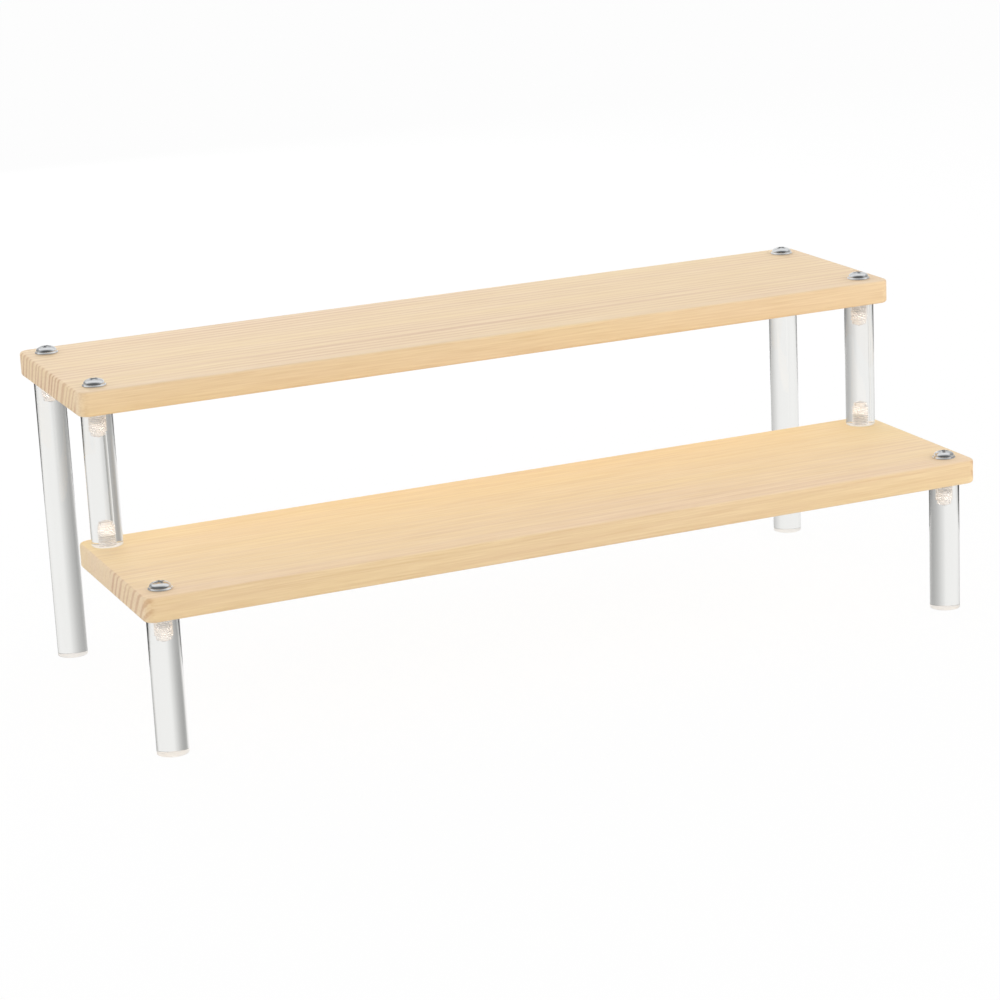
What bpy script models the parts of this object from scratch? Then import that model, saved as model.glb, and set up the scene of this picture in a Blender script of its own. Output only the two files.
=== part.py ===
"""Two-tier display stand: two pine shelves on clear acrylic rods, held together by machine screws.

Metres, +Z up. The origin is on the floor, under the middle of the stand. The low step is at the front, which
faces -Y, and left is -X. The rear edge of the low shelf carries the front edge of the high one on two posts.
"""

import math

import bmesh
import bpy
from mathutils import Matrix, Vector

# Shelves
SHELF_LENGTH = 0.400
SHELF_DEPTH = 0.100
SHELF_THICKNESS = 0.011
SHELF_CORNER_RADIUS = 0.005
SHELF_EDGE_ROUND = 0.0012
HOLE_FROM_END = 0.0105
HOLE_FROM_SIDE = 0.012

# Acrylic rods
ROD_DIAMETER = 0.014
ROD_CHAMFER = 0.0002
FRONT_LEG_LENGTH = 0.061
POST_LENGTH = 0.060

# Screws, with an M5 coarse thread, a cross recess and a full domed head on a flange that slopes to a thin rim
THREAD_DIAMETER = 0.005
THREAD_PITCH = 0.0008
THREAD_DEPTH = 0.0005
THREAD_IN_ROD = 0.0055
THREAD_IN_SHELF = 0.0022
TIP_CHAMFER = 0.0004
HEAD_DIAMETER = 0.0106
HEAD_HEIGHT = 0.0030
HEAD_FLANGE_HEIGHT = 0.0008
HEAD_RIM_HEIGHT = 0.0003
HEAD_FLANGE_LIP = 0.0006
DOME_POWER = 2.3
RECESS_DIAMETER = 0.0052
RECESS_WING_WIDTH = 0.0014
RECESS_DEPTH = 0.0022
RECESS_FOOT_SCALE = 0.35

# Tapped holes in the rods: the thread runs on past the screw, and the pilot hole past the thread
TAP_PAST_SCREW = 0.0038
PILOT_PAST_TAP = 0.0016
PILOT_STEP = 0.00005
DRILL_POINT_HEIGHT = 0.0010

# Fits: the seat gap is between resting faces, and the other two are measured along the radius
SEAT_GAP = 0.0003
HOLE_CLEARANCE = 0.0003
THREAD_CLEARANCE = 0.0002

# How far each rod was turned, in degrees, when its screws came tight. A rod's screws turn with it.
ROD_TURNS = {
    "front_leg_left": 12.0,
    "front_leg_right": 63.0,
    "riser_post_left": 38.0,
    "riser_post_right": 74.0,
    "rear_leg_left": 55.0,
    "rear_leg_right": 20.0,
}

# Facets
CORNER_SEGMENTS = 5
EDGE_SEGMENTS = 2
HOLE_SIDES = 20
ROD_SIDES = 36
HEAD_SIDES = 24
DOME_RINGS = 4
THREAD_STEPS = 10
FADE_TURNS = 1
SMOOTH_BELOW = math.radians(35)
WELD_DISTANCE = 1e-6

# Worked-out places
SIDES = {"left": -1, "right": 1}
HOLE_X = SHELF_LENGTH / 2 - HOLE_FROM_END
HOLE_Y = SHELF_DEPTH / 2 - HOLE_FROM_SIDE
ROD_LINES = {"front_leg": -2 * HOLE_Y, "riser_post": 0.0, "rear_leg": 2 * HOLE_Y}
LOW_SHELF_BOTTOM = FRONT_LEG_LENGTH + SEAT_GAP
LOW_SHELF_TOP = LOW_SHELF_BOTTOM + SHELF_THICKNESS
POST_BOTTOM = LOW_SHELF_TOP + SEAT_GAP
HIGH_SHELF_BOTTOM = POST_BOTTOM + POST_LENGTH + SEAT_GAP
HIGH_SHELF_TOP = HIGH_SHELF_BOTTOM + SHELF_THICKNESS
REAR_LEG_LENGTH = HIGH_SHELF_BOTTOM - SEAT_GAP

# A screw is drawn pointing down, with the seat of its head at zero
GRIP = SEAT_GAP + SHELF_THICKNESS + SEAT_GAP
SCREW_LENGTH = GRIP + THREAD_IN_ROD
SHANK_LENGTH = GRIP - THREAD_IN_SHELF
CREST_RADIUS = THREAD_DIAMETER / 2
ROOT_RADIUS = CREST_RADIUS - THREAD_DEPTH
SHANK_RADIUS = (CREST_RADIUS + ROOT_RADIUS) / 2
THREAD_START = -SCREW_LENGTH + TIP_CHAMFER


def clear_scene():
    for obj in list(bpy.data.objects):
        bpy.data.objects.remove(obj, do_unlink=True)


def principled(name, colour, roughness, metallic=0.0, transmission=0.0, ior=1.5):
    material = bpy.data.materials.new(name)
    material.use_nodes = True
    shader = material.node_tree.nodes["Principled BSDF"]
    shader.inputs["Base Color"].default_value = (*colour, 1.0)
    shader.inputs["Roughness"].default_value = roughness
    shader.inputs["Metallic"].default_value = metallic
    shader.inputs["Transmission Weight"].default_value = transmission
    shader.inputs["IOR"].default_value = ior
    return material


def to_mesh(bm, name):
    """Closes the bmesh off: doubles merged, faces outwards, round faces smooth."""
    bmesh.ops.remove_doubles(bm, verts=bm.verts, dist=WELD_DISTANCE)
    bmesh.ops.recalc_face_normals(bm, faces=bm.faces)
    mesh = bpy.data.meshes.new(name)
    bm.to_mesh(mesh)
    bm.free()
    smooth(mesh)
    return mesh


def smooth(mesh):
    mesh.shade_smooth()
    mesh.set_sharp_from_angle(angle=SMOOTH_BELOW)


def add_object(name, mesh):
    obj = bpy.data.objects.new(name, mesh)
    bpy.context.scene.collection.objects.link(obj)
    return obj


def combine(name, blank, tools):
    """Works (operation, mesh, matrix) tools into a blank, and gives the finished mesh."""
    target = add_object(name, blank)
    helpers = []
    for operation, mesh, matrix in tools:
        helper = add_object(f"{name}_tool", mesh)
        helper.matrix_world = matrix
        helper.hide_render = True
        helper.display_type = "WIRE"
        helpers.append(helper)
        boolean = target.modifiers.new(operation.lower(), "BOOLEAN")
        boolean.operation = operation
        boolean.solver = "EXACT"
        boolean.object = helper
    bpy.context.view_layer.update()
    graph = bpy.context.evaluated_depsgraph_get()
    mesh = bpy.data.meshes.new_from_object(target.evaluated_get(graph))
    mesh.name = name
    smooth(mesh)
    for obj in [target, *helpers]:
        bpy.data.objects.remove(obj, do_unlink=True)
    return mesh


def cylinder(name, radius, height, sides):
    bm = bmesh.new()
    bmesh.ops.create_cone(bm, cap_ends=True, segments=sides, radius1=radius, radius2=radius, depth=height)
    return to_mesh(bm, name)


def turned(name, profile, sides):
    """A (radius, height) profile turned round Z. It starts and ends on the axis."""
    bm = bmesh.new()
    points = [bm.verts.new((radius, 0, height)) for radius, height in profile]
    edges = [bm.edges.new(pair) for pair in zip(points, points[1:])]
    bmesh.ops.spin(
        bm, geom=points + edges, cent=(0, 0, 0), axis=(0, 0, 1), angle=math.tau, steps=sides, use_merge=True
    )
    return to_mesh(bm, name)


def threaded(name, root, crest, bottom, turns, below, above):
    """A right-hand thread of whole turns that fades in and out, run on at both ends to close on the axis.

    below and above are (radius, height) points that carry on from the thread. The last of each has radius 0.
    """
    bm = bmesh.new()
    outline = ((root, 0.0), (crest, THREAD_PITCH / 2), (root, THREAD_PITCH))
    points = [bm.verts.new((radius, 0, bottom + rise)) for radius, rise in outline]
    edges = [bm.edges.new(pair) for pair in zip(points, points[1:])]
    bmesh.ops.spin(
        bm,
        geom=points + edges,
        cent=(0, 0, 0),
        axis=(0, 0, 1),
        dvec=(0, 0, THREAD_PITCH / THREAD_STEPS),
        angle=math.tau * turns,
        steps=THREAD_STEPS * turns,
    )
    bmesh.ops.remove_doubles(bm, verts=bm.verts, dist=WELD_DISTANCE)
    for vert in bm.verts:
        if vert.co.xy.length > (root + crest) / 2:
            done = (vert.co.z - bottom) / THREAD_PITCH - 0.5
            height = min(1.0, done / FADE_TURNS, (turns - done) / FADE_TURNS)
            vert.co.xy *= (root + (crest - root) * height) / vert.co.xy.length
    middle = bottom + (turns + 1) * THREAD_PITCH / 2
    rims = [edge for edge in bm.edges if edge.is_boundary]
    lower = [edge for edge in rims if edge.verts[0].co.z < middle]
    upper = [edge for edge in rims if edge.verts[0].co.z > middle]
    for rim, profile in ((lower, below), (upper, above)):
        for radius, height in profile:
            rim = run_on(bm, rim, radius, height)
    return to_mesh(bm, name)


def run_on(bm, rim, radius, height):
    """Extrudes an open rim to a level circle and gives its edges. A radius of 0 closes it to a point."""
    grown = bmesh.ops.extrude_edge_only(bm, edges=rim)["geom"]
    for vert in (item for item in grown if isinstance(item, bmesh.types.BMVert)):
        vert.co = (*(vert.co.xy.normalized() * radius), height)
    bmesh.ops.remove_doubles(bm, verts=bm.verts, dist=WELD_DISTANCE)
    return [edge for edge in bm.edges if edge.is_boundary and all(at_height(v, height) for v in edge.verts)]


def at_height(vert, height):
    return abs(vert.co.z - height) < WELD_DISTANCE


def shelf_mesh():
    """A board with rounded corners, eased edges and a screw hole near each corner."""
    bm = bmesh.new()
    size = Matrix.Diagonal((SHELF_LENGTH, SHELF_DEPTH, SHELF_THICKNESS, 1))
    bmesh.ops.create_cube(bm, size=1, matrix=size)
    upright = [edge for edge in bm.edges if edge.verts[0].co.xy == edge.verts[1].co.xy]
    bmesh.ops.bevel(
        bm,
        geom=upright,
        offset=SHELF_CORNER_RADIUS,
        segments=CORNER_SEGMENTS,
        profile=0.5,
        affect="EDGES",
        clamp_overlap=True,
    )
    flat = [face for face in bm.faces if abs(face.normal.z) > 0.5]
    around = [edge for face in flat for edge in face.edges]
    bmesh.ops.bevel(
        bm,
        geom=around,
        offset=SHELF_EDGE_ROUND,
        segments=EDGE_SEGMENTS,
        profile=0.5,
        affect="EDGES",
        clamp_overlap=True,
    )
    drill = cylinder("shelf_drill", CREST_RADIUS + HOLE_CLEARANCE, 2 * SHELF_THICKNESS, HOLE_SIDES)
    places = [(x * HOLE_X, y * HOLE_Y, 0) for x in (-1, 1) for y in (-1, 1)]
    holes = [("DIFFERENCE", drill, Matrix.Translation(place)) for place in places]
    return combine("shelf", to_mesh(bm, "shelf_blank"), holes)


def recess_mesh():
    """The tapered cross in a screw's head, carried on as far above the head as it goes into it."""
    bm = bmesh.new()
    reach = RECESS_DIAMETER / 2
    half = RECESS_WING_WIDTH / 2
    quarter = ((half, half), (half, reach), (-half, reach))
    turns = [Matrix.Rotation(turn * math.tau / 4, 2) for turn in range(4)]
    outline = [turn @ Vector(point) for turn in turns for point in quarter]
    cross = bm.faces.new([bm.verts.new((point.x, point.y, 0)) for point in outline])
    lower = bmesh.ops.extrude_face_region(bm, geom=[cross])["geom"]
    foot = [item for item in lower if isinstance(item, bmesh.types.BMVert)]
    for verts, scale, rise in ((foot, RECESS_FOOT_SCALE, -1), (cross.verts, 2 - RECESS_FOOT_SCALE, 1)):
        for vert in verts:
            vert.co = (vert.co.x * scale, vert.co.y * scale, HEAD_HEIGHT + rise * RECESS_DEPTH)
    return to_mesh(bm, "recess")


def screw_mesh():
    """A turned head on a threaded stem, with the cross recess cut.

    The dome is a super-ellipse, a little fuller than an ellipse.
    """
    flange = HEAD_DIAMETER / 2
    foot = flange - HEAD_FLANGE_LIP
    dome = HEAD_HEIGHT - HEAD_FLANGE_HEIGHT
    profile = []
    for ring in range(DOME_RINGS + 1):
        angle = math.pi / 2 * ring / DOME_RINGS
        across, up = (share ** (2 / DOME_POWER) for share in (math.sin(angle), math.cos(angle)))
        profile.append((foot * across, HEAD_FLANGE_HEIGHT + dome * up))
    profile += [(flange, HEAD_RIM_HEIGHT), (flange, 0), (0, 0)]
    head = turned("screw_head", profile, HEAD_SIDES)
    turns = math.floor((-SHANK_LENGTH - THREAD_START) / THREAD_PITCH) - 1
    tip = ((ROOT_RADIUS - TIP_CHAMFER, -SCREW_LENGTH), (0, -SCREW_LENGTH))
    shank = ((SHANK_RADIUS, -SHANK_LENGTH), (SHANK_RADIUS, HEAD_FLANGE_HEIGHT), (0, HEAD_FLANGE_HEIGHT))
    stem = threaded("screw_stem", ROOT_RADIUS, CREST_RADIUS, THREAD_START, turns, tip, shank)
    here = Matrix.Identity(4)
    return combine("screw", head, [("UNION", stem, here), ("DIFFERENCE", recess_mesh(), here)])


def tap_mesh():
    """The threaded hole for one screw, in the screw's own frame, so that the two threads keep in step."""
    root = ROOT_RADIUS + THREAD_CLEARANCE
    crest = CREST_RADIUS + THREAD_CLEARANCE
    spare_turns = math.ceil(TAP_PAST_SCREW / THREAD_PITCH)
    bottom = THREAD_START - spare_turns * THREAD_PITCH
    turns = math.ceil((-GRIP - bottom) / THREAD_PITCH + FADE_TURNS)
    pilot = root - PILOT_STEP
    pilot_end = bottom - PILOT_PAST_TAP
    below = ((pilot, pilot_end), (0, pilot_end - DRILL_POINT_HEIGHT))
    above = ((0, bottom + (turns + 1) * THREAD_PITCH),)
    return threaded("tap", root, crest, bottom, turns, below, above)


def rod_mesh(name, length, tapped_below):
    """A rod standing on its origin, tapped in its top end and, if asked, in its lower end."""
    radius = ROD_DIAMETER / 2
    flat = radius - ROD_CHAMFER
    profile = ((0, 0), (flat, 0), (radius, ROD_CHAMFER))
    profile += tuple((r, length - z) for r, z in reversed(profile))
    tap = tap_mesh()
    taps = [("DIFFERENCE", tap, Matrix.Translation((0, 0, length + GRIP)))]
    if tapped_below:
        upside_down = Matrix.Translation((0, 0, -GRIP)) @ Matrix.Rotation(math.pi, 4, "X")
        taps.append(("DIFFERENCE", tap, upside_down))
    return combine(name, turned(f"{name}_blank", profile, ROD_SIDES), taps)


def place(name, mesh, stand, location, turn=0.0, flipped=False):
    obj = add_object(name, mesh)
    obj.parent = stand
    obj.location = location
    obj.rotation_euler = (math.pi if flipped else 0.0, 0.0, math.radians(turn))


def build():
    clear_scene()
    pine = principled("planed_pine", (0.83, 0.63, 0.39), 0.55)
    acrylic = principled("clear_cast_acrylic", (0.95, 0.96, 0.95), 0.03, transmission=1.0, ior=1.49)
    steel = principled("zinc_plated_steel", (0.76, 0.77, 0.78), 0.22, metallic=1.0)
    stand = add_object("display_stand", None)

    shelf = shelf_mesh()
    shelf.materials.append(pine)
    shelf_middle = SHELF_THICKNESS / 2
    place("lower_shelf", shelf, stand, (0, -HOLE_Y, LOW_SHELF_BOTTOM + shelf_middle))
    place("upper_shelf", shelf, stand, (0, HOLE_Y, HIGH_SHELF_BOTTOM + shelf_middle))

    rods = {
        "front_leg": (rod_mesh("front_leg", FRONT_LEG_LENGTH, False), 0.0),
        "riser_post": (rod_mesh("riser_post", POST_LENGTH, True), POST_BOTTOM),
        "rear_leg": (rod_mesh("rear_leg", REAR_LEG_LENGTH, False), 0.0),
    }
    for rod, (mesh, foot) in rods.items():
        mesh.materials.append(acrylic)
        for side, sign in SIDES.items():
            name = f"{rod}_{side}"
            place(name, mesh, stand, (sign * HOLE_X, ROD_LINES[rod], foot), ROD_TURNS[name])

    screw = screw_mesh()
    screw.materials.append(steel)
    screws = {
        "screw_lower_front": ("front_leg", LOW_SHELF_TOP + SEAT_GAP, False),
        "screw_under_post": ("riser_post", LOW_SHELF_BOTTOM - SEAT_GAP, True),
        "screw_upper_front": ("riser_post", HIGH_SHELF_TOP + SEAT_GAP, False),
        "screw_upper_rear": ("rear_leg", HIGH_SHELF_TOP + SEAT_GAP, False),
    }
    for name, (rod, seat, flipped) in screws.items():
        for side, sign in SIDES.items():
            spot = (sign * HOLE_X, ROD_LINES[rod], seat)
            place(f"{name}_{side}", screw, stand, spot, ROD_TURNS[f"{rod}_{side}"], flipped)


build()
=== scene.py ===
"""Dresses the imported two-tier display stand in pine, clear acrylic and plated steel.

Metres, +Z up, in the frame's own axes. The low shelf is at the front, which faces -Y, and left
is -X.
"""

import math
from typing import NamedTuple

import bmesh
import bpy
from bpy.props import FloatProperty, FloatVectorProperty, PointerProperty
from mathutils import Matrix, Vector


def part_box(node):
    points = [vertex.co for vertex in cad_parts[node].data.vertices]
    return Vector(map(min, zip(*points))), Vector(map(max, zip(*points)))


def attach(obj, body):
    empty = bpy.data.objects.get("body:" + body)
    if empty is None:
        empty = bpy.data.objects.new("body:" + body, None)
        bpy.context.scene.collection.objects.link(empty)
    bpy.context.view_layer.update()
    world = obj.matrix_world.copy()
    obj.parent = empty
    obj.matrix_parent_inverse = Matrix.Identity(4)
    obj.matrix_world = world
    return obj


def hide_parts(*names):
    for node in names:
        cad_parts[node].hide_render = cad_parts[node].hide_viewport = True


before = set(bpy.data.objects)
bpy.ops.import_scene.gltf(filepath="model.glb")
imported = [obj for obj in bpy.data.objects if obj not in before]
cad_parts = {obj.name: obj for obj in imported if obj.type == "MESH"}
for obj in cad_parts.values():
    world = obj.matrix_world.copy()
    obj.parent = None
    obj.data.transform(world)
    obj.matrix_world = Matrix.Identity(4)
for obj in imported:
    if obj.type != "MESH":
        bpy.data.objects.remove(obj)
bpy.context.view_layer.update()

bl_info = {
    "name": "Tiered Display Stand",
    "version": (1, 0, 0),
    "blender": (4, 5, 0),
    "location": "View3D > Sidebar > Display Stand",
    "description": "Pine shelves, acrylic rods and plated screws over the packed stand",
    "category": "Object",
}

SIDES = ("left", "right")
RODS = ("front_leg", "riser_post", "rear_leg")
# The rods that stand under or on the lower shelf's holes. The upper shelf has the same holes.
HOLES = ("front_leg_left", "front_leg_right", "riser_post_left", "riser_post_right")
# Each screw with its rod. The one under the post is driven upwards.
SCREWS = {
    "screw_lower_front": "front_leg",
    "screw_under_post": "riser_post",
    "screw_upper_front": "riser_post",
    "screw_upper_rear": "rear_leg",
}
# How far each rod was turned, in degrees, when its screws came tight. A rod's screws turn with it.
ROD_TURNS = {
    "front_leg_left": 12.0,
    "front_leg_right": 63.0,
    "riser_post_left": 38.0,
    "riser_post_right": 74.0,
    "rear_leg_left": 55.0,
    "rear_leg_right": 20.0,
}
# The rods and the heads are drawn up to the boards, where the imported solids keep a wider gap
TOUCH = 0.00005
# A rod's materials, in the order in which it has them
POLISHED, TAPPED, SAWN = range(3)

# The cross recess: its floor's share of the arms' span and width at the top of the head
RECESS_FLOOR = (0.35, 0.7)
# The drill point between the arms: its radius, in widths of an arm, above the head, at the head's
# top and at the recess's floor, and how far it goes below that floor
POINT_RADII = (1.4, 0.85, 0.6)
POINT_DEPTH = 0.0003

# How finely round forms are drawn, in segments of a rounding or steps of a full turn
CORNER_SEGMENTS = 10
EDGE_SEGMENTS = 4
RIM_SEGMENTS = 3
FLANGE_SEGMENTS = 4
DOME_RINGS = 16
ROD_STEPS = 128
HEAD_STEPS = 64
HOLE_STEPS = 48
THREAD_STEPS = 32
POINT_STEPS = 32
# Faces that meet at less than this angle are shaded as one
SMOOTH_BELOW = math.radians(30)
# A face whose normal has at least this much of Z is level
LEVEL = 0.99
# Points closer than WELD are one, and those closer than ON_PLANE to a cut lie in it
WELD = 1e-6
ON_PLANE = 1e-7


def linear(code):
    """An sRGB hex colour as linear red, green and blue."""
    channels = [int(code[i : i + 2], 16) / 255 for i in (1, 3, 5)]
    return tuple(c / 12.92 if c <= 0.04045 else ((c + 0.055) / 1.055) ** 2.4 for c in channels)


def length(name, description, default):
    """A size that a user may change, in metres."""
    return FloatProperty(
        name=name, description=description, default=default, min=0.0, unit="LENGTH", precision=5
    )


def colour(name, description, code):
    """A colour that a user may change, from its hex code."""
    return FloatVectorProperty(
        name=name,
        description=description,
        default=linear(code),
        size=3,
        min=0.0,
        max=1.0,
        subtype="COLOR",
    )


def brightness(name, description, default, unit="NONE"):
    """A light's strength that a user may change."""
    return FloatProperty(name=name, description=description, default=default, min=0.0, unit=unit)


class ShelfSettings(bpy.types.PropertyGroup):
    corner_radius: length("Corner radius", "Rounding of a board's upright corners", 0.005)
    edge_round: length("Edge round", "Easing of a board's long and short edges", 0.0012)
    hole_clearance: length("Hole clearance", "Room round a screw, along the radius", 0.0003)
    ring_width: length("Ring width", "Growth ring spacing across the grain", 0.0046)
    fibre_width: length("Fibre width", "Width of the fine streaks along the grain", 0.0008)
    fibre_length: length("Fibre length", "Length of the fine streaks along the grain", 0.030)
    pale_wood: colour("Pale wood", "Upper board, and all edges and ends", "#F4E1C2")
    # The lower board's top colours hold painted light: both are lifted to make up for the shade
    # under the upper shelf, and the back one's golden tone is partly the wood and partly painted
    # bounce light.
    front_wood_and_painted_light: colour("Warm wood", "Front of the lower board's top", "#FCE7C8")
    back_wood_and_painted_light: colour("Back wood and painted light", "Golden plain back of the lower board's top", "#FFEBBC")
    latewood: colour("Latewood", "Reddish line at the end of a ring", "#C9976E")
    # Multiplies the long edges' colour, which makes them yellower than the top
    edge_tint: colour("Edge tint", "Tint of the long edges", "#FFF9EA")
    fibre_tint: colour("Fibre tint", "Tint of the fine streaks", "#F3EDE5")
    yellow_tint: colour("Yellow tint", "Tint of the yellower stretches", "#FFFBF2")
    rosy_tint: colour("Rosy tint", "Tint of the pinker stretches", "#FDF8F8")


class RodSettings(bpy.types.PropertyGroup):
    rim_round: length("Rim round", "Easing of a rod's end rims", 0.00015)
    tap_past_screw: length("Tap past screw", "Thread in the rod past the screw's tip", 0.0038)
    pilot_past_tap: length("Pilot past tap", "Plain drilled hole past the thread", 0.0016)
    pilot_step: length("Pilot step", "Drilled hole inside the thread's root", 0.00005)
    drill_point: length("Drill point", "Height of the cone that the drill leaves", 0.0010)
    thread_clearance: length("Thread clearance", "Room round the screw's thread", 0.0002)
    polished: colour("Polished", "Body colour of the clear rod", "#FDFDFC")
    cut: colour("Cut", "Milky white of a sawn or tapped surface", "#FDF8F3")


class ScrewSettings(bpy.types.PropertyGroup):
    thread_diameter: length("Thread diameter", "Outer diameter of the thread", 0.005)
    thread_pitch: length("Thread pitch", "Spacing of the thread", 0.0008)
    thread_depth: length("Thread depth", "Height of the thread, along the radius", 0.0005)
    thread_in_rod: length("Thread in rod", "How far the screw goes into the rod", 0.0055)
    thread_in_shelf: length("Thread in shelf", "Length of thread inside the shelf", 0.0022)
    tip_chamfer: length("Tip chamfer", "Chamfer at the screw's tip", 0.0004)
    head_diameter: length("Head diameter", "Width of the head over its flange", 0.0106)
    head_height: length("Head height", "Height of the domed head", 0.0030)
    flange_height: length("Flange height", "Thickness of the flange under the dome", 0.0008)
    flange_lip: length("Flange lip", "How far the flange stands out past the dome", 0.0006)
    flange_rim: length("Flange rim", "Upright rim, from which the flange slopes up", 0.0003)
    flange_round: length("Flange round", "Rounding of the flange's upper edge", 0.0001)
    dome_power: FloatProperty(
        name="Dome power",
        description="Power of the dome's super-ellipse: 2 is an ellipse, more is fuller",
        default=2.3,
        min=1.0,
    )
    recess_diameter: length("Recess diameter", "Span of the cross recess", 0.0052)
    recess_wing: length("Recess wing", "Width of one arm of the cross", 0.0014)
    recess_depth: length("Recess depth", "Depth of the cross recess", 0.0022)
    plating: colour("Plating", "Colour of the bright plating", "#E2E4E6")


class StageSettings(bpy.types.PropertyGroup):
    floor: colour("Floor", "Pale floor under the stand", "#FAFAFA")
    tent: colour("Tent", "White of the tent, as rods and screws show it", "#F4F4F3")
    tent_side: colour("Tent sides", "Dim folds behind, to the left and right", "#70706F")
    daylight: brightness("Daylight", "Soft light from the horizon", 1.25)
    overhead: brightness("Overhead", "Soft light from straight above", 0.75)
    key: brightness("Key lamp", "Softbox at the front right", 3.4, "POWER")
    fill: brightness("Fill lamp", "Softbox high on the left", 1.8, "POWER")
    back: brightness("Back lamp", "Low softbox behind", 8.3, "POWER")


class StandSettings(bpy.types.PropertyGroup):
    shelf: PointerProperty(type=ShelfSettings)
    rod: PointerProperty(type=RodSettings)
    screw: PointerProperty(type=ScrewSettings)
    stage: PointerProperty(type=StageSettings)


def add_node(tree, kind, inputs=None, stops=(), **settings):
    """Adds a node with its settings and links.

    An input is a number, a colour or the socket that feeds it. The stops, from two upwards, are a
    colour ramp's positions, each with a grey or a colour.
    """
    node = tree.nodes.new(kind)
    for key, value in settings.items():
        setattr(node, key, value)
    for key, value in (inputs or {}).items():
        if isinstance(value, bpy.types.NodeSocket):
            tree.links.new(value, node.inputs[key])
        else:
            node.inputs[key].default_value = value
    for _ in stops[2:]:
        node.color_ramp.elements.new(0.5)
    for index, (position, value) in enumerate(stops):
        element = node.color_ramp.elements[index]
        element.position = position
        element.color = (*(value if isinstance(value, tuple) else 3 * (value,)), 1.0)
    return node


# The sockets of a mix node that take and give colours
MIX_A, MIX_B, MIX_RESULT = 6, 7, 2


def new_material(name):
    """A material with its node tree and its shader."""
    material = bpy.data.materials.new(name)
    material.use_nodes = True
    return material, material.node_tree, material.node_tree.nodes["Principled BSDF"]


class Cut(NamedTuple):
    """How a board was sawn from its stem."""

    wood: str
    pith: tuple  # where the axis of the growth rings lies
    drift: float  # slant of the grain along the board, in radians
    lines: float  # how strong the rings show on the top and below
    end_lines: float  # how strong they show on the sawn ends
    ringed: tuple  # across the board, from front to back, where rings show and it isn't plain


CUTS = {
    "lower_shelf": Cut(
        wood="rift_sawn_pine",
        pith=(0.0, -0.210, -0.046),
        drift=0.028,
        lines=0.12,
        end_lines=0.58,
        ringed=(-0.1, -0.040),
    ),
    "upper_shelf": Cut(
        wood="quarter_sawn_pine",
        pith=(0.0, -0.1146, 0.056),
        drift=0.010,
        lines=0.36,
        end_lines=0.75,
        ringed=(-0.004, 0.1),
    ),
}
# A ring is this many times longer along the stem than across it
STEM_STRETCH = 50.0
# A stem sways by a few millimetres, in bends of 200 mm along the board and 83 mm across: per metre
STEM_SWAY = 0.005
STEM_BENDS = (5.0, 12.0, 12.0)
# Good and bad years make rings uneven: how often per ring, and by how many radians of its wave
YEAR_CHANGES = 0.4
YEAR_SHIFT = 6.0
# Where in a ring's wave, from -1 to 1, the late line starts
LATE_FROM = -0.3
# How strong the rings show on the long edges, in plain wood and where they fade along the board
EDGE_LINES = 0.12
PLAIN_LINES = 0.1
PATCH_LINES = 0.3
# They turn plain over 3 mm, and come and go in patches of 167 mm along and 25 mm across: per metre
PLAIN_FADE = 0.003
PATCHES = (6.0, 40.0, 40.0)


def growth_rings(tree, spot, shelf, cut):
    """The stem's rings through a board: nought in the pale early wood and one in a late line."""
    trunk = add_node(
        tree,
        "ShaderNodeMapping",
        {
            "Vector": spot,
            "Location": cut.pith,
            "Rotation": (0.0, 0.0, cut.drift),
            "Scale": (STEM_STRETCH, 1.0, 1.0),
        },
        vector_type="TEXTURE",
    )
    bends = add_node(tree, "ShaderNodeMapping", {"Vector": spot, "Scale": STEM_BENDS})
    sway = add_node(
        tree,
        "ShaderNodeTexNoise",
        {"Vector": bends.outputs["Vector"], "Scale": 1.0, "Detail": 1.5},
    )
    swayed = add_node(
        tree,
        "ShaderNodeVectorMath",
        {0: sway.outputs["Color"], 1: (0.0, STEM_SWAY, STEM_SWAY), 2: trunk.outputs["Vector"]},
        operation="MULTIPLY_ADD",
    )
    radius = add_node(
        tree, "ShaderNodeVectorMath", {0: swayed.outputs["Vector"]}, operation="LENGTH"
    )
    years = add_node(
        tree,
        "ShaderNodeTexNoise",
        {"W": radius.outputs["Value"], "Scale": YEAR_CHANGES / shelf.ring_width, "Detail": 1.0},
        noise_dimensions="1D",
    )
    shift = add_node(
        tree, "ShaderNodeMath", {0: years.outputs["Fac"], 1: YEAR_SHIFT}, operation="MULTIPLY"
    )
    phase = add_node(
        tree,
        "ShaderNodeMath",
        {0: radius.outputs["Value"], 1: math.tau / shelf.ring_width, 2: shift.outputs[0]},
        operation="MULTIPLY_ADD",
    )
    wave = add_node(tree, "ShaderNodeMath", {0: phase.outputs[0]}, operation="SINE")
    late = add_node(
        tree,
        "ShaderNodeMapRange",
        {"Value": wave.outputs[0], "From Min": LATE_FROM, "From Max": 1.0},
        interpolation_type="SMOOTHSTEP",
    )
    return late.outputs["Result"]


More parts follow.
